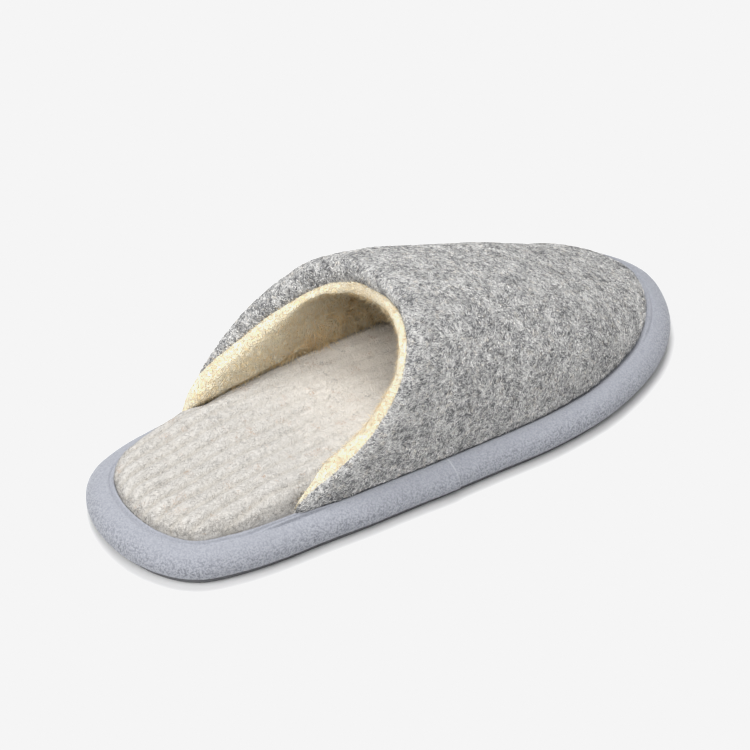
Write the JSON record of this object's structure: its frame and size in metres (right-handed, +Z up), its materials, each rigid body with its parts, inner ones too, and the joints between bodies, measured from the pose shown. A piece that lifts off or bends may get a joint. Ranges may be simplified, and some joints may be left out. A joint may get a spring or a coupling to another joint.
{
  "type": "slip-on house slipper",
  "caption": "Wool felt slip-on slipper for the right foot, with an open heel, a padded rim and a ribbed footbed.",
  "frame": {"origin": "on the floor, under the middle of the slipper's box", "axes": "+Y from heel to toe, +X to the outer side of the right foot, +Z up"},
  "size_m": [0.1104, 0.27, 0.0712],
  "materials": {
    "outsole_sheet": "matt dark grey, finely grained",
    "rim_cover": "light blue-grey brushed suede-like fabric over soft padding",
    "footbed_wool": "off-white ribbed wool knit with short nap",
    "lining_pile": "cream wool pile, thick and fluffy",
    "upper_felt": "grey melange wool felt, light and dark fibres, brushed at the collar"
  },
  "bodies": {
    "root": {"outsole": "outsole_sheet", "platform": "rim_cover", "footbed": "footbed_wool", "upper": "upper_felt"}
  },
  "joints": []
}
